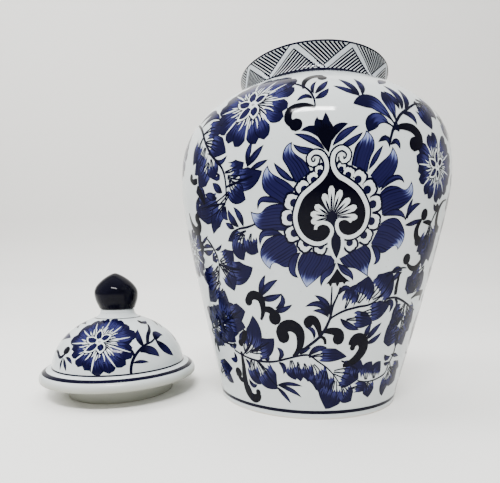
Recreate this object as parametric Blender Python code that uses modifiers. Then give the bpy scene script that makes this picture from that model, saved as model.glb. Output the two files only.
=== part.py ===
"""Ginger jar in glazed porcelain, standing open, with its domed lid lying beside it.

The jar is a turned body with a short flared collar luted on its shoulder. The lid is a turned dome
with an overhanging flange, a locating ring under it that drops into the collar, and a solid knob.
Everything is in metres, with +Z up, the table at Z = 0 and the origin under the middle of the whole.
"""

import math

import bpy

# The jar. Radii are from its own axis and heights are above the table.
JAR_X = 0.0686
JAR_HEIGHT = 0.270
BELLY_RADIUS = 0.1124
BELLY_HEIGHT = 0.1786
FOOT_RADIUS = 0.0812
FOOT_HEIGHT = 0.012
FOOT_FLARE = 0.0014
FOOT_LAND = 0.007
RECESS_DEPTH = 0.003
BODY_WALL = 0.005
FLOOR_HEIGHT = 0.008
FLOOR_CORNER = 0.009
SEAT_RADIUS = 0.066
SEAT_HEIGHT = 0.248

# How far the belly's curve runs straight up, straight down, and out along the foot's taper.
BELLY_RUN_UP = 0.0359
BELLY_RUN_DOWN = 0.0238
FOOT_RUN = 0.0533
FOOT_TAPER = 0.215

# Where the shoulder's curve heads for as it leaves the collar.
SHOULDER_AIM = (0.1032, 0.2293)

# The collar.
BORE_RADIUS = 0.054
WAIST_RADIUS = 0.0586
WAIST_HEIGHT = 0.2570
RIM_RADIUS = 0.0609

# The lid, on its own axis beside the jar.
LID_X = -0.1102
LID_Y = -0.0220
RING_RADIUS = 0.048
RING_BORE = 0.043
RING_TAPER = 0.001
RING_RECESS_RADIUS = 0.0497
RING_RECESS_DEPTH = 0.001
LID_WALL = 0.0055
FLANGE_RADIUS = 0.0708
FLANGE_BOTTOM = 0.0157
FLANGE_TOP = 0.0262
FLANGE_ROUND = 0.003
DOME_RADIUS = 0.0594
DOME_FOOT = 0.028
DOME_RISE = 0.0463
DOME_FULLNESS = 1.86

# The knob and its stem.
STEM_RADIUS = 0.0150
STEM_BASE = 0.0724
STEM_WAIST = (0.0148, 0.0756)
KNOB_NECK = (0.0160, 0.0782)
KNOB_RADIUS = 0.0194
KNOB_WIDEST = 0.0930
KNOB_TOP = 0.1115
KNOB_POINT = 0.0040

# The space left between two pieces that touch, the softness of edges, and the steps of a full turn.
GAP = 0.0003
EDGE_ROUND = 0.0012
STEPS = 48
KNOB_STEPS = 32


def bezier(start, start_handle, end_handle, end, count):
    """Points of a curve in radius and height: its ends and what lies between, count steps in all."""
    points = []
    for index in range(count + 1):
        t = index / count
        weights = ((1 - t) ** 3, 3 * (1 - t) ** 2 * t, 3 * (1 - t) * t ** 2, t ** 3)
        corners = (start, start_handle, end_handle, end)
        radius = sum(weight * corner[0] for weight, corner in zip(weights, corners))
        height = sum(weight * corner[1] for weight, corner in zip(weights, corners))
        points.append((radius, height))
    return points


def rounded(before, corner, after, reach, count=3):
    """A rounded corner, from the line that comes from before to the line that goes on to after."""
    ends = []
    for other in (before, after):
        share = reach / math.dist(corner, other)
        ends.append((corner[0] + (other[0] - corner[0]) * share,
                     corner[1] + (other[1] - corner[1]) * share))
    return bezier(ends[0], corner, corner, ends[1], count)


def inset(outline, distance):
    """An outer wall's outline, which runs downwards, moved into the clay by the wall's thickness."""
    moved = []
    for index, (radius, height) in enumerate(outline):
        before = outline[max(index - 1, 0)]
        after = outline[min(index + 1, len(outline) - 1)]
        run = after[0] - before[0]
        drop = before[1] - after[1]
        length = math.hypot(run, drop)
        moved.append((radius - drop / length * distance, height - run / length * distance))
    return moved


def dome(radius, foot, rise, first_angle, count):
    """Points down a dome, from an angle above its foot: fuller than a cone, flatter than a ball."""
    power = 2 / DOME_FULLNESS
    points = []
    for index in range(count + 1):
        angle = first_angle * (1 - index / count)
        points.append((radius * math.cos(angle) ** power, foot + rise * math.sin(angle) ** power))
    return points


def make_material(name, colour, roughness):
    """A glazed ceramic finish."""
    material = bpy.data.materials.new(name)
    material.use_nodes = True
    shader = material.node_tree.nodes["Principled BSDF"]
    shader.inputs["Base Color"].default_value = (*colour, 1.0)
    shader.inputs["Roughness"].default_value = roughness
    shader.inputs["Metallic"].default_value = 0.0
    return material


def turn(name, outline, location, material, steps=STEPS, closed=False):
    """Turn an outline about a vertical axis. It runs down its outer side, and a ring's is closed."""
    mesh = bpy.data.meshes.new(name)
    edges = [(index, index + 1) for index in range(len(outline) - 1)]
    if closed:
        edges.append((len(outline) - 1, 0))
    mesh.from_pydata([(radius, 0.0, height) for radius, height in outline], edges, [])
    mesh.materials.append(material)
    piece = bpy.data.objects.new(name, mesh)
    piece.location = location
    screw = piece.modifiers.new("turning", "SCREW")
    screw.axis = "Z"
    screw.steps = steps
    screw.render_steps = steps
    screw.use_merge_vertices = True
    screw.merge_threshold = 0.00005
    screw.use_smooth_shade = True
    collection.objects.link(piece)


def body_wall():
    """Outer wall from the collar's seat over the shoulder and belly down to the top of the foot."""
    seat = (SEAT_RADIUS, SEAT_HEIGHT)
    belly = (BELLY_RADIUS, BELLY_HEIGHT)
    foot = (FOOT_RADIUS + FOOT_FLARE, FOOT_HEIGHT)
    above_belly = (BELLY_RADIUS, BELLY_HEIGHT + BELLY_RUN_UP)
    below_belly = (BELLY_RADIUS, BELLY_HEIGHT - BELLY_RUN_DOWN)
    above_foot = (foot[0] + FOOT_TAPER * FOOT_RUN, FOOT_HEIGHT + FOOT_RUN)
    shoulder = bezier(seat, SHOULDER_AIM, above_belly, belly, 11)
    flank = bezier(belly, below_belly, above_foot, foot, 9)
    return shoulder + flank[1:]


def make_jar_body(material):
    """The body: a thrown wall of even thickness on a turned foot ring, open at the shoulder."""
    wall = body_wall()
    inside = inset(wall, BODY_WALL)[::-1]
    wall_foot = inside[0]
    floor_edge = (wall_foot[0] - FLOOR_CORNER, FLOOR_HEIGHT)
    corner = (wall_foot[0] - EDGE_ROUND, FLOOR_HEIGHT)
    mouth = (BORE_RADIUS, inside[-1][1] + EDGE_ROUND)
    seat_edge = (BORE_RADIUS, SEAT_HEIGHT)
    land_inner = FOOT_RADIUS - EDGE_ROUND - FOOT_LAND
    outline = [(0.0, FLOOR_HEIGHT)]
    outline += bezier(floor_edge, corner, corner, wall_foot, 3)
    outline += inside[1:]
    outline += rounded(inside[-1], mouth, seat_edge, EDGE_ROUND)
    outline += [seat_edge]
    outline += wall
    outline += rounded(wall[-1], (FOOT_RADIUS, 0.0), (0.0, 0.0), EDGE_ROUND)
    outline += [(land_inner, 0.0), (land_inner - RECESS_DEPTH, RECESS_DEPTH), (0.0, RECESS_DEPTH)]
    turn("jar_body", outline, (JAR_X, 0.0, 0.0), material)


def make_neck_collar(material):
    """The collar: a waisted ring with a flat bed on the shoulder and a flat, soft-edged rim."""
    bed = SEAT_HEIGHT + GAP
    bed_inner = (BORE_RADIUS, bed)
    bed_outer = (SEAT_RADIUS, bed)
    rim_inner = (BORE_RADIUS, JAR_HEIGHT)
    rim_outer = (RIM_RADIUS, JAR_HEIGHT)
    waist = (WAIST_RADIUS, WAIST_HEIGHT)
    above_waist = (WAIST_RADIUS, WAIST_HEIGHT + 3 * EDGE_ROUND)
    below_waist = (WAIST_RADIUS, bed + 3 * EDGE_ROUND)
    flare_foot = (RIM_RADIUS - 2 * GAP, JAR_HEIGHT - 3 * EDGE_ROUND)
    outline = [bed_inner]
    outline += rounded(bed_inner, rim_inner, rim_outer, EDGE_ROUND)
    outline += rounded(rim_inner, rim_outer, flare_foot, EDGE_ROUND)
    outline += bezier(flare_foot, flare_foot, above_waist, waist, 3)
    outline += bezier(waist, below_waist, (bed_outer[0] - 3 * EDGE_ROUND, bed + GAP), bed_outer, 5)[1:]
    turn("neck_collar", outline, (JAR_X, 0.0, 0.0), material, closed=True)


def make_lid_dome(material):
    """The lid: a hollow dome, flat under its knob, on a thick round-edged flange recessed for its ring."""
    ring_bed = FLANGE_BOTTOM + RING_RECESS_DEPTH
    step = FLANGE_BOTTOM + LID_WALL
    hollow_radius = DOME_RADIUS - LID_WALL
    stem_angle = math.acos((STEM_RADIUS / DOME_RADIUS) ** (DOME_FULLNESS / 2))
    flange_edge = (FLANGE_RADIUS, FLANGE_BOTTOM + FLANGE_ROUND)
    flange_rise = (FLANGE_RADIUS, FLANGE_TOP - FLANGE_ROUND)
    dome_foot = (DOME_RADIUS, DOME_FOOT)
    flange_slope = (DOME_RADIUS + 2 * FLANGE_ROUND, FLANGE_TOP)
    hollow_top = DOME_RISE + DOME_FOOT - LID_WALL - FLANGE_TOP
    outline = [(0.0, STEM_BASE)]
    outline += dome(DOME_RADIUS, DOME_FOOT, DOME_RISE, stem_angle, 12)
    outline += bezier(dome_foot, flange_slope, flange_rise, flange_edge, 6)[1:]
    outline += rounded(flange_edge, (FLANGE_RADIUS, FLANGE_BOTTOM), (0.0, FLANGE_BOTTOM), FLANGE_ROUND)[1:]
    outline += [(RING_RECESS_RADIUS, FLANGE_BOTTOM), (RING_RECESS_RADIUS, ring_bed), (RING_BORE, ring_bed)]
    outline += rounded((RING_BORE, ring_bed), (RING_BORE, step), (DOME_RADIUS, step), EDGE_ROUND)
    outline += rounded((0.0, step), (hollow_radius, step), (hollow_radius, DOME_FOOT), EDGE_ROUND)
    outline += dome(hollow_radius, FLANGE_TOP, hollow_top, math.pi / 2, 10)[:0:-1]
    outline += [(0.0, FLANGE_TOP + hollow_top)]
    turn("lid_dome", outline, (LID_X, LID_Y, 0.0), material)


def make_locating_ring(material):
    """The locating ring: a plain ring luted in the flange's recess, with a flat ground edge below."""
    bed = FLANGE_BOTTOM + RING_RECESS_DEPTH - GAP
    bed_outer = (RING_RADIUS + RING_TAPER, bed)
    bed_inner = (RING_BORE, bed)
    foot_outer = (RING_RADIUS, 0.0)
    foot_inner = (RING_BORE, 0.0)
    outline = [bed_inner, bed_outer]
    outline += rounded(bed_outer, foot_outer, foot_inner, EDGE_ROUND)
    outline += rounded(foot_outer, foot_inner, bed_inner, EDGE_ROUND / 2)
    turn("lid_locating_ring", outline, (LID_X, LID_Y, 0.0), material, closed=True)


def make_knob(material):
    """The knob: a solid bud on a short stem, widest above its middle and drawn up to a soft point."""
    top = (0.0, KNOB_TOP)
    widest = (KNOB_RADIUS, KNOB_WIDEST)
    shoulder = (KNOB_RADIUS, (KNOB_WIDEST + KNOB_TOP) / 2)
    below_widest = (KNOB_RADIUS, (KNOB_WIDEST + KNOB_NECK[1]) / 2)
    bed = STEM_BASE + GAP
    outline = bezier(top, (KNOB_POINT, KNOB_TOP), shoulder, widest, 9)
    outline += bezier(widest, below_widest, KNOB_NECK, KNOB_NECK, 4)[1:]
    outline += [STEM_WAIST, (STEM_RADIUS, bed), (0.0, bed)]
    turn("lid_knob", outline, (LID_X, LID_Y, 0.0), material, steps=KNOB_STEPS)


for old in list(bpy.data.objects):
    bpy.data.objects.remove(old, do_unlink=True)

collection = bpy.data.collections.new("ginger_jar")
bpy.context.scene.collection.children.link(collection)

make_jar_body(make_material("jar_glaze", (0.72, 0.74, 0.73), 0.12))
make_neck_collar(make_material("collar_glaze", (0.42, 0.46, 0.58), 0.12))
make_lid_dome(make_material("lid_glaze", (0.70, 0.72, 0.72), 0.12))
make_locating_ring(make_material("ring_glaze", (0.66, 0.68, 0.66), 0.30))
make_knob(make_material("navy_glaze", (0.010, 0.012, 0.030), 0.08))
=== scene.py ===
"""Looks of the ginger jar: white porcelain painted in cobalt under a clear glaze, with its lid beside it."""

import math

import bpy
import numpy as np
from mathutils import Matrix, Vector


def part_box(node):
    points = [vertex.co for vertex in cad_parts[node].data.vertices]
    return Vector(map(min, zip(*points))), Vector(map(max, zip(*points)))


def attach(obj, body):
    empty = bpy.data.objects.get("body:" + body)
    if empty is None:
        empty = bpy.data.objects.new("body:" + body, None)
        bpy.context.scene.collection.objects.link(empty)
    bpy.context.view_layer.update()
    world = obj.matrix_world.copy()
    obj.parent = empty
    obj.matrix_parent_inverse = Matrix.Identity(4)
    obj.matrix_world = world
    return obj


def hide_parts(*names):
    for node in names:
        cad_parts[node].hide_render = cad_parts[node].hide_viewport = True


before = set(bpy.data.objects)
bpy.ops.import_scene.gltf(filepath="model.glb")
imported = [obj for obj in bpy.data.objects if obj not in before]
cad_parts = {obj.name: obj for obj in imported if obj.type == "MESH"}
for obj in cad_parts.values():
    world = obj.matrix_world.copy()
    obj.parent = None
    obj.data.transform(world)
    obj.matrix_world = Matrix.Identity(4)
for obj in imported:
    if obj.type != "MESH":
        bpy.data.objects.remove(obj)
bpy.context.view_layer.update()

# ---------------------------------------------------------------- the table and the light
# The jar and its lid stand on a pale sweep of card, with painted shade that greys it up its upright back.
# Daylight comes through a large soft window in front and above, and white walls all round send some of it
# back.
def middle_of(node):
    """Where the upright axis of a turned part stands."""
    low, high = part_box(node)
    return round((low[0] + high[0]) / 2, 4), round((low[1] + high[1]) / 2, 4)


class Wire:
    """An output of a node, so that a recipe for nodes can be written as plain sums."""

    def __init__(self, socket):
        self.socket = socket
        self.tree = socket.id_data

    @classmethod
    def put(cls, tree, kind, settings=None, sockets=None, out=0):
        """A new node of a kind, its settings made first and then its sockets filled or wired."""
        node = tree.nodes.new(kind)
        for name, value in (settings or {}).items():
            if name == "stops":
                ramp = node.color_ramp.elements
                while len(ramp) < len(value):
                    ramp.new(0.5)
                for stop, (place, colour) in zip(ramp, value):
                    stop.position = place
                    stop.color = (*colour, 1.0)
            else:
                setattr(node, name, value)
        for key, value in (sockets or {}).items():
            if isinstance(value, Wire):
                tree.links.new(value.socket, node.inputs[key])
            else:
                node.inputs[key].default_value = value
        return cls(node.outputs[out])

    def also(self, name):
        """Another output of the same node."""
        return Wire(self.socket.node.outputs[name])

    def math(self, operation, *others):
        """A sum on this value and others."""
        return Wire.put(self.tree, "ShaderNodeMath", {"operation": operation},
                        dict(enumerate((self, *others))))

    def part(self, axis):
        """One number of a place or direction."""
        return Wire.put(self.tree, "ShaderNodeSeparateXYZ", None, {0: self}, axis)

    def __add__(self, other):
        return self.math("ADD", other)

    def __mul__(self, other):
        return self.math("MULTIPLY", other)

    def __sub__(self, other):
        return self.math("SUBTRACT", other)

    def __rsub__(self, other):
        return Wire.put(self.tree, "ShaderNodeMath", {"operation": "SUBTRACT"}, {0: other, 1: self})

    def __truediv__(self, other):
        return self.math("DIVIDE", other)

    __radd__ = __add__
    __rmul__ = __mul__

    def over(self, low, high):
        """0 below low, 1 above high, and a soft step between them."""
        return Wire.put(self.tree, "ShaderNodeMapRange", {"interpolation_type": "SMOOTHSTEP"},
                        {"Value": self, "From Min": low, "From Max": high})

    def towards(self, other, share):
        """This colour turning into another by a share."""
        return Wire.put(self.tree, "ShaderNodeMix", {"data_type": "RGBA"},
                        {"Factor": share, "A": self, "B": other}, 2)


JAR_X, JAR_Y = middle_of("jar_body")
SWEEP = [(-2.5, 0.0), (0.55, 0.0), (0.72, 0.02), (0.82, 0.09), (0.86, 0.24), (0.86, 2.6)]
SWEEP_HALF_WIDTH = 3.0
CARD_NEAR = (0.82, 0.815, 0.785)
# The grey of the painted shade up the card's upright back, and the height where that shade is full.
CARD_PAINTED_SHADE = (0.60, 0.59, 0.565)
CARD_SHADE_FULL_HEIGHT = 0.30

sweep_mesh = bpy.data.meshes.new("backdrop")
sweep_points = [(x, y, z) for x in (-SWEEP_HALF_WIDTH, SWEEP_HALF_WIDTH) for y, z in SWEEP]
sweep_faces = [(k, k + len(SWEEP), k + len(SWEEP) + 1, k + 1) for k in range(len(SWEEP) - 1)]
sweep_mesh.from_pydata(sweep_points, [], sweep_faces)
sweep_mesh.shade_smooth()
backdrop = bpy.data.objects.new("backdrop", sweep_mesh)
bpy.context.scene.collection.objects.link(backdrop)

card = bpy.data.materials.new("card")
card.use_nodes = True
# Painted shade: the card darkens with height, from its own pale colour on the floor to a grey on the upright
# back, where less light falls.
card_height = Wire.put(card.node_tree, "ShaderNodeTexCoord").also("Object").part(2)
shade = Wire.put(card.node_tree, "ShaderNodeValToRGB",
                 {"stops": [(0.0, CARD_NEAR), (CARD_SHADE_FULL_HEIGHT, CARD_PAINTED_SHADE)]}, {0: card_height})
card_shader = card.node_tree.nodes["Principled BSDF"]
card.node_tree.links.new(shade.socket, card_shader.inputs["Base Color"])
card_shader.inputs["Roughness"].default_value = 0.7
sweep_mesh.materials.append(card)

camera = bpy.data.objects.new("camera", bpy.data.cameras.new("camera"))
bpy.context.scene.collection.objects.link(camera)
camera.location = (JAR_X, -0.3572, 0.1091)
camera.rotation_euler = (math.pi / 2 - 0.1787, 0.0031, 0.1394)
camera.data.lens = 27.02
camera.data.sensor_width = 36.0
camera.data.shift_x = -0.0095
camera.data.shift_y = 0.203
camera.data.clip_start = 0.01
bpy.context.scene.camera = camera

# The room is bright behind the jar and dim in front of it, so that dark paint mirrors little light.
room = bpy.data.worlds.new("room")
room.use_nodes = True
sky = room.node_tree
backward = Wire.put(sky, "ShaderNodeVectorMath", {"operation": "DOT_PRODUCT"},
                    {0: Wire.put(sky, "ShaderNodeTexCoord").also("Generated"), 1: (-0.16, 0.5, 0.0)}, "Value")
brightness = Wire.put(sky, "ShaderNodeMapRange", None,
                      {"Value": backward, "From Min": -0.45, "From Max": 0.14,
                       "To Min": 0.22, "To Max": 0.80})
sky.links.new(brightness.socket, sky.nodes["Background"].inputs["Strength"])
sky.nodes["Background"].inputs["Color"].default_value = (1.0, 1.0, 1.0, 1.0)
bpy.context.scene.world = room


def hang_lamp(name, location, target, size, energy, mirrored=False):
    """A soft source of light turned to face a point, and whether the glaze mirrors it."""
    lamp = bpy.data.objects.new(name, bpy.data.lights.new(name, "AREA"))
    lamp.data.shape = "RECTANGLE"
    lamp.data.size, lamp.data.size_y = size
    lamp.data.energy = energy
    lamp.location = location
    lamp.visible_glossy = mirrored
    lamp.rotation_euler = (Vector(target) - lamp.location).to_track_quat("-Z", "Y").to_euler()
    bpy.context.scene.collection.objects.link(lamp)


hang_lamp("window", (JAR_X + 0.02, -0.95, 1.42), (JAR_X, 0.0, 0.18), (0.70, 0.13), 38.0, mirrored=True)
hang_lamp("ceiling", (JAR_X, 0.1, 2.0), (JAR_X, 0.05, 0.0), (2.2, 1.6), 40.0)
hang_lamp("left_wall", (-1.15, -0.30, 1.25), (-0.55, 0.86, 0.50), (0.9, 0.9), 30.0)
hang_lamp("right_wall", (1.8, -0.25, 0.9), (JAR_X, 0.0, 0.12), (1.2, 1.2), 2.5)


# ---------------------------------------------------------------- the jar
# Body and collar of white porcelain. The body is turned, the collar luted on its shoulder, and the
# two are glazed and fired as one, with only the land of the foot ring wiped bare.
def new_tree(name, ports):
    """An empty recipe for shapes, with its named inputs, and the output of those inputs."""
    tree = bpy.data.node_groups.new(name, "GeometryNodeTree")
    tree.interface.new_socket("Geometry", in_out="INPUT", socket_type="NodeSocketGeometry")
    for label, kind in ports.items():
        tree.interface.new_socket(label, in_out="INPUT", socket_type="NodeSocket" + kind)
    tree.interface.new_socket("Geometry", in_out="OUTPUT", socket_type="NodeSocketGeometry")
    return tree, Wire.put(tree, "NodeGroupInput")


def end_tree(tree, shape, finish):
    """Close a recipe: real faces in place of instances, then the finish on them."""
    real = Wire.put(tree, "GeometryNodeRealizeInstances", None, {0: shape})
    faced = Wire.put(tree, "GeometryNodeSetMaterial", None, {"Geometry": real, "Material": finish})
    tree.links.new(faced.socket, tree.nodes.new("NodeGroupOutput").inputs[0])


def make(name, mesh, tree, values):
    """Run a recipe on a mesh, with its inputs' values, and keep the result as a plain mesh."""
    piece = bpy.data.objects.new(name, mesh)
    bpy.context.scene.collection.objects.link(piece)
    modifier = piece.modifiers.new(tree.name, "NODES")
    modifier.node_group = tree
    for port in tree.interface.items_tree:
        if port.in_out == "INPUT" and port.name in values:
            modifier[port.identifier] = values[port.name]
    graph = bpy.context.evaluated_depsgraph_get()
    plain = bpy.data.meshes.new_from_object(piece.evaluated_get(graph), preserve_all_data_layers=True,
                                            depsgraph=graph)
    piece.modifiers.clear()
    piece.data = plain
    plain.name = name
    plain.shade_smooth()
    facing = plain.attributes.get("facing")
    if facing:
        normals = np.zeros(len(plain.vertices) * 3)
        facing.data.foreach_get("vector", normals)
        plain.normals_split_custom_set_from_vertices(normals.reshape(-1, 3).tolist())
        plain.attributes.remove(plain.attributes["facing"])
    return piece


def make_turning():
    """The wheel: an outline of radius and height is carried round an upright axis."""
    tree, ports = new_tree("turning", {"Steps": "Int", "Axis X": "Float", "Axis Y": "Float",
                                       "Finish": "Material"})
    outline = ports.also("Geometry")
    count = Wire.put(tree, "GeometryNodeAttributeDomainSize", {"component": "MESH"}, {0: outline})
    grid = Wire.put(tree, "GeometryNodeMeshGrid", None,
                    {"Vertices X": ports.also("Steps") + 1, "Vertices Y": count})
    index = Wire.put(tree, "GeometryNodeInputIndex")
    column = (index / count + 0.0001).math("FLOOR")
    row = index - column * count
    place = Wire.put(tree, "GeometryNodeSampleIndex", {"data_type": "FLOAT_VECTOR"},
                     {"Geometry": outline, "Value": Wire.put(tree, "GeometryNodeInputPosition"),
                      "Index": row})
    angle = column / ports.also("Steps") * math.tau
    turned = Wire.put(tree, "ShaderNodeCombineXYZ", None,
                      {0: ports.also("Axis X") + place.part(0) * angle.math("SINE"),
                       1: ports.also("Axis Y") - place.part(0) * angle.math("COSINE"),
                       2: place.part(2)})
    wall = Wire.put(tree, "GeometryNodeSetPosition", None, {"Geometry": grid, "Position": turned})
    closed = Wire.put(tree, "GeometryNodeMergeByDistance", None, {"Geometry": wall, "Distance": 0.00001})
    end_tree(tree, closed, ports.also("Finish"))
    return tree


turning = make_turning()


def line_mesh(name, points):
    """A drawn outline: radius and height in millimetres."""
    mesh = bpy.data.meshes.new(name)
    mesh.from_pydata([(r / 1000, 0.0, z / 1000) for r, z in points],
                     [(k, k + 1) for k in range(len(points) - 1)], [])
    return mesh


def bend(start, start_handle, end_handle, end, count):
    """Points of a smooth bend between two ends, the first left out."""
    points = []
    for k in range(1, count + 1):
        t = k / count
        weights = ((1 - t) ** 3, 3 * (1 - t) ** 2 * t, 3 * (1 - t) * t ** 2, t ** 3)
        corners = (start, start_handle, end_handle, end)
        points.append(tuple(sum(w * c[axis] for w, c in zip(weights, corners)) for axis in (0, 1)))
    return points


def inside_of(points, wall):
    """An outer outline, drawn upwards, moved into the clay by the wall's thickness."""
    line = np.array(points)
    run = np.gradient(line, axis=0)
    run /= np.linalg.norm(run, axis=1)[:, None]
    return [tuple(p) for p in line + wall * np.stack([-run[:, 1], run[:, 0]], axis=1)]


GLAZE = (0.56, 0.60, 0.605)
BISCUIT = (0.62, 0.58, 0.52)
WALL = 5.0
FOOT_TOP = (82.6, 12.0)
BELLY = (112.4, 178.6)
SEAT = (66.0, 248.0)

flank = [FOOT_TOP] + bend(FOOT_TOP, (94.06, 65.3), (112.4, 154.8), BELLY, 40)
flank += bend(BELLY, (112.4, 214.5), (103.2, 229.3), SEAT, 44)
neck = [SEAT] + bend(SEAT, (61.6, 248.6), (58.6, 251.9), (58.6, 257.0), 10)
neck += bend((58.6, 257.0), (58.6, 260.6), (60.3, 266.4), (60.75, 268.6), 8)
rim = bend((60.75, 268.6), (60.9, 270.0), (60.9, 270.0), (59.5, 270.0), 5)
rim += [(57.5, 270.0), (55.3, 270.0)] + bend((55.3, 270.0), (54.0, 270.0), (54.0, 270.0), (54.0, 268.6), 5)
lining = inside_of(flank, WALL)[::-1]
lining = [point for point in lining if point[0] > 60.0]
throat = [(54.0, 262.0), (54.0, 255.0), (54.0, 247.5)]
throat += bend((54.0, 247.5), (54.0, 243.8), (57.0, 244.9), lining[0], 6)
bowl = bend(lining[-1], (76.3, 8.0), (75.0, 8.0), (68.0, 8.0), 6) + [(50.0, 8.0), (25.0, 8.0), (0.0, 8.0)]
foot = [(0.0, 3.0), (40.0, 3.0), (70.0, 3.0), (72.6, 0.4), (73.0, 0.0), (76.5, 0.0), (80.0, 0.0)]
foot += bend((80.0, 0.0), (81.2, 0.0), (81.2, 0.0), (81.3, 1.2), 4) + [(81.9, 6.0)]
jar_outline = foot + flank + neck[1:] + rim + throat + lining[1:] + bowl


def noise(tree, place, scale, detail=2.0):
    """Soft random variation over a surface."""
    return Wire.put(tree, "ShaderNodeTexNoise", None, {"Vector": place, "Scale": scale, "Detail": detail})


def glazed(name, tree_colour, gloss):
    """A fired glaze: a hard clear gloss, a little uneven, over what tree_colour lays down."""
    material = bpy.data.materials.new(name)
    material.use_nodes = True
    tree = material.node_tree
    shader = tree.nodes["Principled BSDF"]
    shader.inputs["Specular IOR Level"].default_value = gloss
    place = Wire.put(tree, "ShaderNodeTexCoord").also("Object")
    colour, roughness = tree_colour(tree, place)
    tree.links.new(colour.socket, shader.inputs["Base Color"])
    tree.links.new(roughness.socket, shader.inputs["Roughness"])
    ripple = noise(tree, place, 38.0, 1.0) + noise(tree, place, 420.0, 1.0) * 0.04
    bump = Wire.put(tree, "ShaderNodeBump", None, {"Strength": 0.12, "Distance": 0.0016, "Height": ripple})
    tree.links.new(bump.socket, shader.inputs["Normal"])
    return material


def white_ground(tree, place):
    """White clay under the glaze, faintly clouded, with pinpricks of iron."""
    cloud = noise(tree, place, 14.0)
    white = Wire.put(tree, "ShaderNodeValToRGB",
                     {"stops": [(0.3, tuple(0.95 * c for c in GLAZE)), (0.7, GLAZE)]}, {0: cloud})
    speck = noise(tree, place, 900.0, 0.0).over(0.83, 0.86) * 0.5
    white = white.towards((0.10, 0.09, 0.10, 1.0), speck)
    bare = 1 - place.part(2).over(0.0008, 0.0016)
    white = white.towards((*BISCUIT, 1.0), bare)
    return white, cloud * 0.04 + 0.05 + bare * 0.6


jar_glaze = glazed("jar_glaze_white", white_ground, 0.26)
jar = make("jar", line_mesh("jar", jar_outline), turning,
           {"Steps": 192, "Axis X": JAR_X, "Axis Y": JAR_Y, "Finish": jar_glaze})
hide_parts("jar_body", "neck_collar")
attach(jar, "jar")

# ---------------------------------------------------------------- the painter's line and wash
# Cobalt painted on the raw clay: each stroke is a thin film with a dark edge where the pigment
# settles, washed from dark to light along its length. It is drawn flat and then laid on the wall.
ROUND = 112.4
DEGREE = math.radians(1.0) * ROUND
COATS = 0.03
LIFT = 0.05
OVERLAP = 0.0015
SPINE_STEP = 1.6
RAGGED_STEP, EVEN_STEP = 1.5, 2.6
BLACK, INK, NAVY, COBALT, PALE, WHITE = 0.0, 0.14, 0.28, 0.5, 0.75, 1.0
COBALTS = [
    (BLACK, (0.0010, 0.0010, 0.0042)), (INK, (0.0016, 0.0016, 0.0100)),
    (NAVY, (0.0060, 0.0054, 0.0340)), (COBALT, (0.0240, 0.0255, 0.0950)),
    (PALE, (0.1500, 0.1850, 0.3600)), (0.97, GLAZE), (WHITE, GLAZE)]


def painted(tree, place):
    """Cobalt of the stroke's own depth, streaked along the brush, with a settled edge."""
    brush = Wire.put(tree, "ShaderNodeAttribute", {"attribute_name": "brush"}).also("Vector")
    depth = Wire.put(tree, "ShaderNodeAttribute", {"attribute_name": "depth"}).also("Vector")
    along, across, edge = (brush.part(k) for k in range(3))
    grain = Wire.put(tree, "ShaderNodeCombineXYZ", None, {0: along * 0.35, 1: across * 0.9, 2: depth.part(2)})
    hair = noise(tree, grain, 1.1, 2.5)
    turn = (along + (hair - 0.5) * 0.5 - depth.part(2).math("FRACT")).over(-0.15, 0.15)
    tone = depth.part(0) + (depth.part(1) - depth.part(0)) * turn
    lines = (across * 3.1 + hair * 5.0 + depth.part(2)).math("SINE").over(0.25, 0.9)
    streak = lines * hair.over(0.38, 0.60) * 0.20 * tone.over(0.16, 0.34) * (1 - along.over(0.55, 0.95))
    washed = tone - streak * (1 - tone.over(0.9, 0.96))
    rim_line = (1 - edge.over(0.45, 0.95)) * (1 - tone.over(0.82, 0.9))
    washed = washed * (1 - rim_line) + rim_line * washed.math("MINIMUM", INK)
    colour = Wire.put(tree, "ShaderNodeValToRGB", {"stops": COBALTS}, {0: washed})
    return colour, noise(tree, place, 14.0) * 0.04 + 0.05


cobalt = glazed("cobalt_wash", painted, 0.08)


def pairs(numbers):
    """A flat run of numbers, as points."""
    return list(zip(numbers[::2], numbers[1::2]))


def flow(points, count):
    """Evenly spaced points on a smooth line through the given ones."""
    knots = np.array(points, float).reshape(-1, 2)
    if len(knots) > 2:
        gaps = np.linalg.norm(np.diff(knots, axis=0), axis=1)
        time = np.concatenate([[0], np.cumsum(np.sqrt(gaps))])
        slope = np.gradient(knots, time, axis=0)
        slope[0] = 2 * (knots[1] - knots[0]) / (time[1] - time[0]) - slope[1]
        slope[-1] = 2 * (knots[-1] - knots[-2]) / (time[-1] - time[-2]) - slope[-2]
        dense = [knots[:1]]
        for k in range(len(knots) - 1):
            t = np.linspace(0, 1, 17)[1:, None]
            span = time[k + 1] - time[k]
            dense.append((2 * t ** 3 - 3 * t ** 2 + 1) * knots[k]
                         + (t ** 3 - 2 * t ** 2 + t) * span * slope[k]
                         + (3 * t ** 2 - 2 * t ** 3) * knots[k + 1]
                         + (t ** 3 - t ** 2) * span * slope[k + 1])
        knots = np.concatenate(dense)
    length = np.concatenate([[0], np.cumsum(np.linalg.norm(np.diff(knots, axis=0), axis=1))])
    wanted = np.linspace(0, length[-1], count)
    return np.stack([np.interp(wanted, length, knots[:, axis]) for axis in (0, 1)], axis=1)


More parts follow.
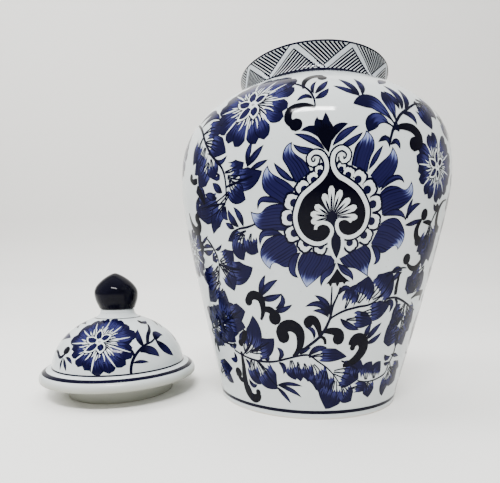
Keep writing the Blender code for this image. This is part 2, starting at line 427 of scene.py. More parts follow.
class Drawing:
    """Strokes drawn flat, in degrees round the pot and millimetres up it, for one painted piece."""

    def __init__(self, degree=DEGREE, start=0.0):
        self.degree = degree
        self.start = start
        self.points, self.faces, self.brush, self.depth = [], [], [], []
        self.strokes = 0

    def flat(self, places):
        """Places in degrees and millimetres, as millimetres both ways."""
        return [(degrees * self.degree, up + self.start) for degrees, up in places]

    def strip(self, left, right, tones=(NAVY, NAVY), turn=0.5, coat=0, ragged=0.0):
        """A film between two edges, given as points from its root to its tip, its root even or ragged."""
        self.strokes += 1
        run = np.diff((left + right) / 2, axis=0)
        reach = (right - left)[:-1]
        if (reach[:, 0] * run[:, 1] - reach[:, 1] * run[:, 0]).sum() < 0:
            left, right = right, left
        longest = max(np.linalg.norm(np.diff(side, axis=0), axis=1).sum() for side in (left, right))
        widest = np.linalg.norm(left - right, axis=1).max()
        rows = len(left)
        columns = max(3, int(widest / (RAGGED_STEP if ragged else EVEN_STEP)) + 2)
        first = len(self.points)
        root_way = (left[1] + right[1] - left[0] - right[0]) / 2
        root_way = root_way / max(np.linalg.norm(root_way), 1e-9) * ragged
        for k in range(rows):
            width = np.linalg.norm(left[k] - right[k])
            tip = min(k, rows - 1 - k) / (rows - 1) * longest
            for c in range(columns):
                share = c / (columns - 1)
                spot = left[k] * (1 - share) + right[k] * share
                if ragged and k == 0:
                    spot = spot + root_way * (0.9 * ((c + self.strokes) % 2) - 0.7 * abs(2 * share - 1))
                    width = 9.0
                self.points.append((spot[0], spot[1], LIFT + coat * COATS + self.strokes % 16 * OVERLAP))
                edge = min(min(share, 1 - share) * width, tip + 0.2 if width < 1.0 else width)
                self.brush.append((k / (rows - 1), (share - 0.5) * width, edge))
                self.depth.append((tones[0], tones[1], turn + self.strokes * 7))
        for k in range(rows - 1):
            for c in range(columns - 1):
                a = first + k * columns + c
                self.faces.append((a, a + 1, a + columns + 1, a + columns))

    def blade(self, spine, width, root=0.12, tip=0.0, peak=0.45, tones=(NAVY, NAVY), turn=0.5, coat=0,
              teeth=0, bite=0.0, cut=0.0, ragged=0.0, blunt=0.9):
        """A leaf of one stroke about its middle line, widest at its peak."""
        spine = np.reshape(spine, (-1, 2))
        length = np.linalg.norm(np.diff(spine, axis=0), axis=1).sum()
        line = flow(spine, max(8, int(length / SPINE_STEP)))
        way = np.gradient(line, axis=0)
        way /= np.maximum(np.linalg.norm(way, axis=1), 1e-9)[:, None]
        side = np.stack([-way[:, 1], way[:, 0]], axis=1)
        along = np.linspace(0, 1, len(line))
        rising = root + (1 - root) * np.sin(np.pi / 2 * along / peak)
        falling = np.maximum(np.cos(np.pi / 2 * (along - peak) / (1 - peak)), 0) ** blunt
        half = width / 2 * np.where(along < peak, rising, tip + (1 - tip) * falling)
        notch = 1 - bite * np.abs(np.sin(np.pi * teeth * along)) if teeth else 1.0
        kept = slice(int(cut * len(line)), None)
        self.strip((line + side * (half * notch)[:, None])[kept], (line - side * half[:, None])[kept], tones,
                   turn, coat, ragged)

    def leaves(self, table, **look):
        """Several leaves, each a width and then the degrees and millimetres of its middle line."""
        for width, *places in table:
            self.blade(self.flat(pairs(places)), width, **look)

    def disc(self, centre, size, tone, coat=0):
        """A round blob of the brush."""
        x, y = centre
        up = np.linspace(-1, 1, 11)
        half = np.sqrt(np.maximum(1 - up ** 2, 0)) * size / 2
        rows = y + up * size / 2
        self.strip(np.stack([x - half, rows], 1), np.stack([x + half, rows], 1), (tone, tone), 0.5, coat)

    def ribbon(self, spine, width, tone, coat):
        """A line of even width with round ends."""
        self.blade(spine, width, root=0.75, tip=0.75, peak=0.5, tones=(tone, tone), coat=coat)


def make_laying():
    """The hand: a flat drawing is repeated round the pot and laid along the outline of its wall."""
    tree, ports = new_tree("laying", {"Wall line": "Object", "Axis X": "Float", "Axis Y": "Float",
                                      "Round": "Float", "Repeats": "Int", "Finish": "Material"})
    round_wall = ports.also("Round")
    stride = round_wall * math.tau / ports.also("Repeats")
    stations = Wire.put(tree, "GeometryNodeMeshLine", None,
                        {"Count": ports.also("Repeats"),
                         "Offset": Wire.put(tree, "ShaderNodeCombineXYZ", None, {0: stride})})
    copies = Wire.put(tree, "GeometryNodeInstanceOnPoints", None,
                      {"Points": stations, "Instance": ports.also("Geometry")})
    sheets = Wire.put(tree, "GeometryNodeRealizeInstances", None, {0: copies})
    wall = Wire.put(tree, "GeometryNodeObjectInfo", None,
                    {"Object": ports.also("Wall line")}).also("Geometry")
    curve = Wire.put(tree, "GeometryNodeMeshToCurve", None, {0: wall})
    place = Wire.put(tree, "GeometryNodeInputPosition")
    spot = Wire.put(tree, "GeometryNodeSampleCurve", {"mode": "LENGTH", "use_all_curves": True},
                    {"Curves": curve, "Length": place.part(1)}).also("Position")
    way = spot.also("Tangent")
    out_r, out_z = way.part(2), way.part(0) * -1
    radius = spot.part(0) + out_r * place.part(2)
    height = spot.part(2) + out_z * place.part(2)
    angle = place.part(0) / round_wall
    sine, cosine = angle.math("SINE"), angle.math("COSINE")
    laid = Wire.put(tree, "ShaderNodeCombineXYZ", None,
                    {0: ports.also("Axis X") + radius * sine, 1: ports.also("Axis Y") - radius * cosine,
                     2: height})
    facing = Wire.put(tree, "ShaderNodeCombineXYZ", None, {0: out_r * sine, 1: out_r * cosine * -1, 2: out_z})
    marked = Wire.put(tree, "GeometryNodeStoreNamedAttribute", {"data_type": "FLOAT_VECTOR"},
                      {"Geometry": sheets, "Name": "facing", "Value": facing})
    moved = Wire.put(tree, "GeometryNodeSetPosition", None, {"Geometry": marked, "Position": laid})
    closed = Wire.put(tree, "GeometryNodeMergeByDistance", None, {"Geometry": moved, "Distance": 0.000005})
    end_tree(tree, closed, ports.also("Finish"))
    return tree


laying = make_laying()


def guide(name, points):
    """An outline that drawings are laid along. It goes when the painting is done."""
    line = bpy.data.objects.new(name, line_mesh(name, points))
    bpy.context.scene.collection.objects.link(line)
    return line


jar_line = guide("jar_line", [(81.2, 0.0), (82.0, 6.0)] + flank)
JAR_WALL = {"Wall line": jar_line, "Axis X": JAR_X, "Axis Y": JAR_Y, "Round": ROUND / 1000, "Finish": cobalt}


def paint(name, drawing, wall, repeats, body):
    """Lay a drawing on its wall as one painted piece that rides on a body."""
    mesh = bpy.data.meshes.new(name)
    mesh.from_pydata([(x / 1000, y / 1000, z / 1000) for x, y, z in drawing.points], [], drawing.faces)
    for label, values in (("brush", drawing.brush), ("depth", drawing.depth)):
        layer = mesh.attributes.new(label, "FLOAT_VECTOR", "POINT")
        layer.data.foreach_set("vector", np.array(values, np.float32).ravel())
    piece = make(name, mesh, laying, {**wall, "Repeats": repeats})
    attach(piece, body)
    return piece


# ---------------------------------------------------------------- lines round the jar
# Bands pulled with a loaded brush while the jar turned on the wheel: one above the foot, one on
# the shoulder, and one at the bottom and top of the collar.
def band(drawing, low, high, tone=INK, coat=0, steps=192, part=16):
    """A line all the way round, a part of the turn at a time."""
    across = np.linspace(0, 360 * drawing.degree, steps + 1)
    for first in range(0, steps, part):
        run = across[first:first + part + 1]
        top, foot_edge = (np.stack([run, np.full(part + 1, up + drawing.start)], 1) for up in (high, low))
        drawing.strip(top, foot_edge, (tone, tone), 0.5, coat)


foot_bands = Drawing()
band(foot_bands, 4.6, 7.5)
band(foot_bands, 268.6, 269.5, COBALT)
paint("jar_bands", foot_bands, JAR_WALL, 1, "jar")

# ---------------------------------------------------------------- the medallion
# The chief ornament, once on the front and once on the back: a dark heart framed in a white scroll,
# ringed with scallops and ten washed petals, with a tulip above and a bell below.
PETALS = [
    (12.8, 177, 13.1, 181.3, 14, 188, 16.2, 193.5, 16.8, 197.2),
    (17.6, 173.5, 18.2, 181.3, 19.4, 187, 19.1, 192.6, 16.8, 197.2),
    (19.1, 171.3, 21.9, 178, 25.3, 184.7, 26.0, 189), (22.2, 165, 26.6, 172.5, 28.2, 181.3, 26.0, 189),
    (23, 160.8, 25.8, 165.4, 29.2, 166.2, 33.2, 165.4, 34.9, 170.8),
    (24.7, 149.6, 28.1, 151.8, 32.1, 155, 36.3, 162.4, 34.9, 170.8),
    (24.7, 143.6, 28.1, 146.5, 31.5, 146, 35.9, 137, 34, 127.8),
    (22.2, 132.4, 24.7, 128.4, 28.1, 126.7, 32.8, 130.6, 34, 127.8),
    (11.4, 122.4, 14, 117.2, 17.4, 115.6, 19.6, 113.4, 22.8, 109.8),
    (19.1, 130.2, 21.6, 126.9, 22.6, 121.3, 22.3, 115.8, 22.8, 109.8),
    (-0.5, 127, -2.7, 121.5, -3.4, 115.8, -2, 107.4, -0.5, 102.8),
    (8.3, 123.5, 8.2, 116.9, 4.9, 112.2, 2.1, 107.2, -0.5, 102.8),
    (-4, 128, -6.4, 118.9, -9.2, 117.2, -13, 119.3, -14.3, 115),
    (-6, 136, -11.5, 136, -15.4, 132.6, -17.6, 124.5, -14.3, 115),
    (-7, 140, -11.5, 141, -15.4, 141, -18.6, 143.6, -20.5, 153),
    (-7, 154.5, -11.5, 155.4, -14.9, 153.8, -17, 151.2, -20.5, 153),
    (-8.1, 156, -12.6, 161.1, -15.2, 166.3, -15.3, 173.8, -13.6, 179.2),
    (-5, 163.5, -7.5, 168, -10.4, 171.5, -12.7, 174.9, -13.6, 179.2),
    (-4.5, 168, -6.9, 176.9, -8.6, 182.8, -7.7, 188.9, -5.8, 191.2),
    (0, 173, -2.4, 180.2, -4.7, 183.8, -5.9, 187, -5.8, 191.2)]
SEPALS = [
    (3.6, 18.2, 175, 20.4, 182.4, 22.7, 189.4), (4, 23, 163.5, 26.4, 170.2, 29.8, 171.9, 31.9, 168.8),
    (4.4, 25.3, 148.6, 29.8, 151.3, 33.2, 150.2, 35.1, 147.2),
    (5, 22.2, 130.2, 25.1, 125.8, 25.7, 121, 24.2, 117.9),
    (5, 10.3, 119, 12.9, 114.7, 15.7, 111.3, 16.9, 107.2), (5, 9.7, 119, 7.7, 113.6, 5.6, 110.2, 4.9, 103.4),
    (6, -3, 125.8, -5.5, 120.2, -5.8, 113.6, -3.6, 109.3),
    (5, -9.2, 137.4, -13.2, 139.1, -16.6, 138, -17.7, 131),
    (4, -9.2, 156.3, -13.2, 159.1, -16.6, 159.1, -17.7, 153.4), (4, -4.8, 168.6, -8.7, 173.6, -11.6, 180.5),
    (4, 4.1, 185.8, 0.4, 191.3, -5.4, 195.8), (4.4, 2.4, 185.3, -2.7, 186.2, -5.6, 190),
    (4.6, 6.6, 188, 10, 194.7, 14.6, 199.6), (4, 8.3, 186.9, 11.7, 189.7, 15.9, 196)]
SCALLOPS = [
    (6, 2.6, 175.0), (7.5, 0.6, 170.6), (9, -2.6, 165.3), (10, -6.3, 157.1), (10, -7.6, 147.6),
    (10, -6.2, 137.2), (9.5, -1.7, 130.1), (8.5, 3.8, 127.8), (6, 9.5, 176.4), (7.5, 12, 173.3),
    (9, 15.6, 171), (10, 19.3, 165), (10, 22, 156), (10, 22.3, 145), (10, 20, 135.7), (9, 14.8, 130.2)]
HEART_LEFT = (
    2.0, 181.0, 1.6, 178.2, 0.1, 178, -0.6, 181.3, 0.9, 184.4, 3.2, 183.6, 4.6, 179.7, 4.9, 174.7,
    3.5, 169.7, 0.4, 164.7, -2.4, 160.2, -4.1, 153.6, -4.7, 146.9, -3.8, 140.2, -1.9, 135.2, 1, 131.9,
    3.8, 131.3, 6.6, 134.1, 7.7, 139.1, 6.6, 142.8, 4.4, 144.1, 2.4, 142.4, 2.1, 140)
HEART_RIGHT = (
    9.2, 182.0, 9.7, 179.2, 11.2, 180.2, 11.5, 184.1, 9.4, 186.7, 7.3, 184.6, 6.6, 180.2, 7.0, 175.8,
    8.6, 171.3, 11.7, 168, 15.1, 163.6, 17.6, 158, 19.1, 152.4, 19.3, 146.9, 18.5, 141.3, 16.2, 136.9,
    13.4, 135.2, 10.6, 136.9, 9.2, 141.3, 9.4, 145.2, 11.7, 146.9, 14, 144.7)
LOBES = [(6.6, 165.4), (9.7, 163), (4.3, 160.9), (12.7, 158.2), (1.7, 154.2), (15.2, 153.7), (0.4, 149.4),
         (15.8, 147.4), (0.6, 144.6)]
HEART_MIDDLE = (7.2, 147.4)

petals = Drawing()
for left, right in zip(PETALS[::2], PETALS[1::2]):
    edges = [flow(petals.flat(pairs(side)), 22) for side in (left, right)]
    fuller = (edges[0] - edges[1]) * 0.07
    petals.strip(edges[0] + fuller, edges[1] - fuller, tones=(0.30, 0.80), turn=0.70)
for width, *places in SEPALS:
    petals.blade(petals.flat(pairs(places)), width, tones=(NAVY, 0.36), turn=0.4, coat=1)
paint("medallion_petals", petals, JAR_WALL, 2, "jar")

heart = Drawing()
middle = np.array(heart.flat([HEART_MIDDLE])[0])
for size, degrees, up in SCALLOPS:
    centre = np.array(heart.flat([(degrees, up)])[0])
    out = (centre - middle) / np.linalg.norm(centre - middle)
    side = np.array([-out[1], out[0]])
    for coat, tone, grow in ((2, INK, 0.9), (3, WHITE, -0.6)):
        reach = np.linspace(-1, 1, 17)
        bumps = size * 0.34 + grow + 0.5 * np.abs(np.cos(np.pi * 1.5 * reach))
        bumps *= np.sqrt(np.maximum(1 - np.abs(reach) ** 3.2, 0.02))
        across = centre + side * (reach * (size / 2 + grow))[:, None]
        heart.strip(across + out * bumps[:, None], across - out * size * 0.30, (tone, tone), 0.5, coat)
    heart.disc(centre - out * size * 0.24, size * 0.52, 0.22, coat=4)
field_left = flow(heart.flat(pairs(HEART_LEFT[12:36])), 40)
field_right = flow(heart.flat(pairs(HEART_RIGHT[12:36])), 40)
heart.strip(field_left, field_right, (BLACK, BLACK), 0.5, coat=6)
drop = [flow(heart.flat(side), 18) for side in (
    [(6.4, 148), (7.9, 141), (7, 134), (7.4, 127.5), (9.9, 120.2)],
    [(8.6, 148), (8.9, 141), (11.2, 135), (11.7, 128), (9.9, 120.2)])]
heart.strip(*drop, (INK, INK), 0.5, coat=6.7)
for side in ([(7, 134.4), (7.4, 128), (9.9, 120.6)], [(11.2, 135.4), (11.6, 128.4), (9.9, 120.6)]):
    heart.blade(heart.flat(side), 2.3, root=0.9, tip=0.5, tones=(WHITE, WHITE), coat=7)
for scroll in (HEART_LEFT, HEART_RIGHT):
    heart.ribbon(heart.flat(pairs(scroll)), 5.3, INK, coat=5)
    heart.ribbon(heart.flat(pairs(scroll)), 2.7, WHITE, coat=8)
paint("medallion_heart", heart, JAR_WALL, 2, "jar")

palmette = Drawing()
palmette.disc(middle + (0, 1.5), 13.0, INK, coat=7)
for tip in LOBES:
    end = np.array(palmette.flat([tip])[0])
    way = end - middle
    palmette.blade([middle + way * 0.22, middle + way * 0.62, end], 3.9, root=0.1, tip=0.4, peak=0.85,
                   tones=(WHITE, WHITE), coat=8)
    palmette.blade([middle + way * 0.2, middle + way * 0.5, middle + way * 0.78], 1.4, tones=(INK, INK),
                   coat=9)
tulip = [flow(palmette.flat(side), 14) for side in (
    [(5.2, 184.3), (2.6, 191), (1.2, 197), (1.8, 203.5)], [(5.5, 184.3), (6.3, 191), (7, 196), (5.6, 202)])]
palmette.strip(*tulip, (BLACK, BLACK), 0.5, coat=2)
for width, *places in [(5, 4.5, 191, 0.5, 197.5, -3.3, 197.2), (5, 5.5, 192, 8, 198, 11.2, 200.6),
                       (4.5, 3.5, 194, 1.8, 200, 1.7, 205), (5, 4.4, 194, 4.4, 201, 4.2, 207.5)]:
    palmette.blade(palmette.flat(pairs(places)), width, root=0.9, tones=(BLACK, INK), coat=3)
bell = [flow(palmette.flat(side), 12) for side in (
    [(10.3, 115.2), (8.8, 110.4), (6.8, 105.2)], [(10.7, 115.2), (12.9, 110.6), (15.8, 106.8)])]
palmette.strip(*bell, (BLACK, BLACK), 0.5, coat=2)
for width, *places in [(2.4, 8.3, 107, 8.5, 103.4), (2.6, 11, 108, 11, 103.4), (2.4, 13.6, 108, 13.6, 105)]:
    palmette.blade(palmette.flat(pairs(places)), width, root=1.0, tones=(BLACK, BLACK), coat=3)
paint("medallion_palmette", palmette, JAR_WALL, 2, "jar")

# ---------------------------------------------------------------- peonies
# Five full blooms on each half of the jar, each a ring of paired dark petals round a bright heart,
# where fine rays and looped stamens are left in white.
RAYS = 40
STAMENS = [(100, 0.66), (34, 0.56), (162, 0.66), (222, 0.68), (282, 0.52)]
BLOOMS = [
    ((-20.5, 219), [(-10.6, 228), (-11.6, 212), (-17.5, 200.5), (-25.5, 201.5), (-30.5, 212),
                    (-31.5, 226), (-27, 237), (-18, 241), (-11.5, 237)]),
    ((48, 183), [(39.5, 187), (40.5, 177), (45, 168.5), (52, 168), (57, 176), (58, 187),
                 (53.5, 197), (44.5, 197)]),
    ((-61, 130), [(-52.5, 127), (-55, 118), (-62, 115), (-69, 120), (-70, 131), (-66, 142),
                  (-57.5, 142), (-52, 136)]),
    ((70, 226), [(77, 224), (74, 214), (66, 213), (61, 222), (63, 234), (71, 238), (77, 233)]),
    ((113, 206), [(120.5, 205), (117.5, 195), (110, 194), (105, 202), (106, 214), (113, 219),
                  (119.5, 215)])]


def peony(drawing, centre, petal_places, coat=0):
    """A bloom: two-lobed petals at their places, fine rays inside them and looped stamens in the middle."""
    middle = np.array(drawing.flat([centre])[0])
    spokes = [np.array(drawing.flat([place])[0]) - middle for place in petal_places]
    size = sum(np.linalg.norm(spoke) for spoke in spokes) / len(spokes)

    def ray(angle, near, far, width, tone, level, bow=0.04):
        way = np.array([math.cos(angle), math.sin(angle)]) * size
        bent = np.array([-way[1], way[0]]) * bow
        path = [middle + way * near, middle + way * (near + far) / 2 + bent, middle + way * far]
        drawing.blade(path, width, root=0.6, tones=(tone, tone), coat=coat + level)

    for spoke in spokes:
        side = np.array([-spoke[1], spoke[0]])
        for lean in (-1, 1):
            path = [middle + spoke * 0.44, middle + spoke * 0.95 + side * lean * 0.17,
                    middle + spoke * 1.38 + side * lean * 0.15]
            drawing.blade(path, np.linalg.norm(spoke) * 0.54, root=0.4, peak=0.6, blunt=0.5,
                          tones=(0.46, 0.20), turn=0.6, coat=coat)
    order = sorted(math.atan2(spoke[1], spoke[0]) for spoke in spokes)
    for one, other in zip(order, order[1:] + [order[0] + math.tau]):
        ray((one + other) / 2, 0.5, 1.25, size * 0.05, WHITE, 1, 0.0)
    drawing.disc(middle, size, WHITE, coat=coat + 1)
    for k in range(RAYS):
        angle = math.tau * (k + 0.3 * math.sin(5.0 * k)) / RAYS
        ray(angle, 0.42, 0.76 + 0.10 * math.sin(2.4 * k), size * 0.044, WHITE, 1)
        ray(angle + math.pi / RAYS, 0.10, 0.66 + 0.10 * math.sin(3.1 * k), size * 0.05, INK, 2)
    for degrees, far in STAMENS:
        angle = math.radians(degrees)
        ray(angle, 0.02, far + 0.05, size * 0.34 + 0.9, INK, 3)
        ray(angle, 0.04, far, size * 0.34, WHITE, 4)
        ray(angle, 0.14, far - 0.10, size * 0.34 - 2.1, 0.3, 5)


blooms = Drawing()
for centre, petal_places in BLOOMS:
    peony(blooms, centre, petal_places)
paint("peonies", blooms, JAR_WALL, 2, "jar")

# ---------------------------------------------------------------- stems
# Thin branching stems that carry the flowers and leaves, pulled with the tip of the brush in strong
# cobalt. Those well left of the medallion are drawn again, turned over, to cover the jar's flanks.
LEFT_FLOWERS = -19.0
FLANK_TURN = 42.5
STEMS = [
    (1.5, -52, 222, -45, 213, -41, 203, -37, 193, -31, 181, -30, 170, -31, 160),
    (1.3, -30, 170, -24, 172, -19, 174),
    (1.3, -38, 52, -33, 49, -28, 47, -22, 46, -15, 47, -9, 50, -4, 52.5, 1, 53.5, 5, 49, 10, 43,
     14, 36, 17, 29),
    (1.8, -5, 54, 1, 61, 6, 69, 9, 80, 10, 90, 11.6, 98, 12.2, 103), (1.2, 9.4, 80, 9.2, 92, 9.0, 103.5),
    (1.3, 9, 80.5, 14, 86, 20, 89, 26, 91, 31, 98, 33.5, 106), (1.3, 33, 94, 38, 95, 44, 92, 50, 88, 57, 84),
    (1.5, 25, 190, 26, 198, 29, 208, 33, 214, 38, 220, 42, 222.5), (1.3, 51, 147, 54, 157, 58, 163, 63, 166),
    (1.3, 46, 88, 47, 75, 47, 62, 47, 50, 45, 42, 44, 35, 38, 31, 32, 30, 26, 32),
    (1.2, 46, 43, 49, 36, 55, 29), (1.2, -39, 120, -41, 108, -44, 102, -48, 97),
    (1.2, -39, 120, -33, 116, -27, 115), (1.2, -39, 120, -36, 112, -33, 104),
    (1.3, -45, 139, -41, 131, -39, 123, -39, 119), (1.2, -19, 145, -22, 143.4, -27, 142, -30, 137),
    (1.3, -58, 66, -46, 72, -36, 79, -30, 85), (1.2, -33, 49, -28, 57, -25, 66),
    (1.2, -28, 52, -22, 57, -17, 62), (1.2, -25, 46, -21, 40, -17, 30, -14, 27),
    (1.2, -26, 46, -26.5, 38, -25, 31), (1.2, -9, 245, -8, 235), (1.3, -8, 234, -3, 228, 0, 220, 1, 211),
    (1.2, -36, 57, -45, 57, -53, 62), (1.2, -31, 10, -31, 20, -36, 29), (1.2, 16, 49, 21, 45, 25, 41),
    (1.2, 31, 110, 36, 115, 41, 116), (1.1, -31, 160, -38, 160, -46, 160)]


def turned_over(table):
    """The strokes well left of the medallion again, turned over."""
    return [(row[0], *(FLANK_TURN - v if k % 2 == 0 else v for k, v in enumerate(row[1:])))
            for row in table if max(row[1::2]) < LEFT_FLOWERS]


def all_round(table, stoutness):
    """A table of strokes with its turned-over ones, every stroke widened alike."""
    return [(width * stoutness, *places) for width, *places in table + turned_over(table)]


stems = Drawing()
stems.leaves(all_round(STEMS, 1.35), root=0.8, tip=0.5, peak=0.3, tones=(INK, INK), coat=3)
paint("stems", stems, JAR_WALL, 2, "jar")

# ---------------------------------------------------------------- scrolls
# Heavy curling tendrils in the strongest cobalt, nearly black. Each is one loaded stroke that ends
# in a round drop, where the brush is pressed down and lifted.
SCROLLS = [
    (5, -52, 183, -50, 180, -46, 179), (7, -42.5, 162, -44, 168, -47, 174),
    (8, -58, 160, -56, 150, -52, 145, -49, 148, -50, 153), (6, -51, 140, -50.6, 135, -50, 130),
    (7.5, -20, 79, -18.6, 87, -19.5, 95, -23, 97, -25.6, 92), (6, -19.5, 84, -17, 87, -13.5, 84),
    (9, -33.5, 52, -33.5, 40, -34, 28, -33, 17, -29.5, 12.5, -26.6, 14, -26, 17),
    (6, -34, 27, -37, 27, -38.5, 32),
    (10, -6, 52, -3, 60, -3.2, 71, -6.4, 75.5, -9.6, 74.5, -11.4, 70.5, -10.8, 67),
    (7, 5.4, 67, 4.6, 75, 2.6, 80, 0.4, 80, -0.2, 77.5), (7, 6, 71, 10, 72, 14, 70, 14.6, 66),
    (3, 4, 66, 7, 67, 8, 62), (11, 17, 45, 23, 50, 26, 58, 24.8, 64, 21.5, 65, 20.3, 60.5),
    (7, 26.5, 199.5, 31, 202, 35, 201, 37.5, 196, 36, 191), (6, 44, 149, 42, 141, 44, 135),
    (4, 45, 147, 48, 147.5, 51, 147), (5, 40, 121, 43, 116.5, 47, 116, 50, 121),
    (4, 38, 113, 37.5, 104, 38, 97), (6, -3, 226, -2.5, 236, 0, 241, 4, 241),
    (5.4, 1, 211, -3, 213, -6.8, 210.5, -7.4, 204.8, -5.6, 201), (6, -34, 57, -31, 62, -29, 70),
    (6, -60, 50, -57, 56, -55, 46), (6, 59, 164, 55.5, 157, 56.5, 147, 61, 144.5),
    (5, 50, 93.5, 56, 97, 60.5, 96.5, 61, 91)]
DROPS = [
    (8, -50, 154), (5.5, -51, 183), (10.5, -13.6, 80.8), (9.5, -38.2, 32.6), (10.5, -10.2, 67.2),
    (8, 0.5, 78.4), (10, 13.6, 66.4), (5, 20.6, 59), (9, 35, 192.6), (8, 45, 152), (7.5, 44.2, 134.5),
    (8, 40, 122), (7, 3.6, 238.2), (8, -4.8, 201), (6, -26, 18.5), (6, -33, 59), (7, -25.2, 92.5),
    (6, 53.4, 158), (6, 61, 97)]
scrolls = Drawing()
scrolls.leaves(all_round(SCROLLS, 0.9), root=0.3, tip=0.8, peak=0.75, tones=(BLACK, BLACK), coat=2)
for size, *place in DROPS + turned_over(DROPS):
    scrolls.disc(scrolls.flat([place])[0], size, BLACK, coat=2)
paint("scrolls", scrolls, JAR_WALL, 2, "jar")

# ---------------------------------------------------------------- small leaves
# Slim leaves that spray from the stems, each one stroke in an even wash with a darker edge, and
# three broad ones near the shoulder whose roots are left bare.
SPRAYS = [
    (5, -50, 222, -44, 226.5, -38, 222), (5, -46, 216, -40, 221, -34.5, 215),
    (3, -35, 189, -32, 186, -29, 189.5), (5, -46, 168, -48, 163, -50, 159),
    (5, -31, 158, -32, 153, -30.5, 149), (5, -35, 164, -38, 166, -41.5, 168.5),
    (5, -32, 167, -34, 170, -36.5, 174.5), (3, -34, 180, -33, 177, -36, 177),
    (3.5, -21, 181, -20.5, 188, -19, 195), (4, -21, 180, -18, 186, -15, 191.5),
    (3, -20, 178, -17, 180, -13.5, 182.5), (2.5, -50, 135, -46, 138, -43.5, 140.5),
    (3, -49, 132, -44, 133, -41.5, 131), (4, -49, 130, -45, 128, -41, 130),
    (2.5, -40, 130, -37.5, 130.5, -35.5, 133.5), (4.5, -26, 144, -29, 150, -30, 156),
    (4, -24, 144, -25, 150, -27.5, 157), (3.5, -28, 143, -30, 145, -32, 147.5),
    (4, -19.5, 96, -18.5, 104, -16.5, 111.5), (4.5, -19.5, 95.5, -16, 103, -11.5, 108),
    (4.4, -19.5, 95, -15, 95, -10, 98.5), (4, -13, 88, -10, 92, -10.5, 98.5), (3.6, -14, 86, -10, 87, -6, 91),
    (4, -36, 57, -38, 55, -38, 52), (3, -42, 56, -40, 55, -39, 53), (4, -13, 46.5, -10.5, 43, -11, 37),
    (4, -13, 49, -11.3, 54, -13.5, 58.5), (2.5, -20, 48, -18, 49, -18.5, 52.5),
    (2.5, -24, 46.5, -22, 47, -22.5, 50.5), (3, -31.5, 46, -29.5, 42, -30, 38),
    (4, -31, 29, -29, 24, -26, 25.5), (4.5, -39, 50, -38.5, 44, -43, 44), (3, -14, 28, -8, 29.5, -1.5, 28),
    (3.5, -14, 27.5, -7, 24, -2, 18.5), (3.5, -15, 26, -11, 20, -7.5, 12.5), (5, -50, 63, -48, 57, -46, 53),
    (4, 9, 84, 7, 92, 2.5, 97.5), (4, 8.5, 83, 5, 91, -1, 89.5), (3, 8.5, 82, 6, 86, 2, 86.5),
    (3.5, 12, 98, 14, 102.5, 17, 100.5), (4.5, 13.5, 81, 17, 76, 22.5, 72.5), (4, 33, 92, 37, 90.5, 36.5, 84),
    (2.5, 38, 94, 40, 91, 39, 86), (3, 3, 66, 2.5, 72, -1, 75), (3, -3, 54, 0, 58, 2, 59.5),
    (4.5, 1, 53, 4, 58, 9, 59.5), (4.5, 26, 66, 26.5, 71, 28, 76.5), (4.5, 26.5, 64, 30, 71, 33.5, 77),
    (4, 27, 62, 31, 64, 34.5, 69.5), (4, 40, 51, 42, 47.5, 45, 49), (3, 41, 44, 43, 42.5, 45, 44.5),
    (4, 31, 210, 34.5, 210, 36.5, 204.5), (3, 21, 191, 24, 193.5, 25, 188),
    (3, 25.5, 190, 27.5, 192.5, 29, 188), (4.5, 29.5, 213, 28, 220, 25, 225.5),
    (5, 30.5, 213, 30.5, 223, 26.5, 232), (4.5, 32, 214, 34, 222, 33, 231.5),
    (3.5, 35, 147, 37, 154, 41.5, 158.5), (3, 35.5, 144, 39, 145.5, 44, 149), (3, 36, 148, 36, 155, 37, 161),
    (3, 50, 160, 52, 157, 54, 158), (4, 33, 112, 36, 115, 39, 114), (4, 34, 106, 36, 110, 39, 113),
    (3, 45, 50, 48, 49, 53, 47), (2.5, 0.5, 221, 0, 227, 1.5, 233.5), (4, 1, 221, 3, 226, 5.5, 233.5),
    (4, 1, 217, 3.5, 220, 5.5, 225), (3, 0, 217, -2, 219.5, -5, 216), (3.5, 15.5, 219, 13, 222, 7, 227.5),
    (4, 15.5, 220, 13, 228, 9.5, 235.5), (4, 16.5, 220, 17, 228, 15.5, 237.5), (5, 31, 242, 28, 239, 25, 233)]
BROAD_LEAVES = [
    (10, 25.5, 205.5, 22.5, 211, 19, 215.5, 13, 213), (9, 27.2, 207, 26.5, 212.5, 25.7, 217.5, 24, 225),
    (9, 24.5, 202.5, 22.5, 204.5, 20, 204, 17.5, 196)]
BROAD_LEAF_ROOT = (28.5, 198.5)
sprays = Drawing()
sprays.leaves(all_round(SPRAYS, 1.15), root=0.15, tones=(INK, 0.33), turn=0.35, coat=1)
sprays.leaves(BROAD_LEAVES, root=0.12, peak=0.64, tones=(0.50, 0.18), coat=1, ragged=3.0)
for width, *places in BROAD_LEAVES:
    sprays.blade(sprays.flat([BROAD_LEAF_ROOT, *pairs(places)[:2]]), 1.2, root=0.9, tip=0.3,
                 tones=(INK, INK), coat=3)
paint("small_leaves", sprays, JAR_WALL, 2, "jar")

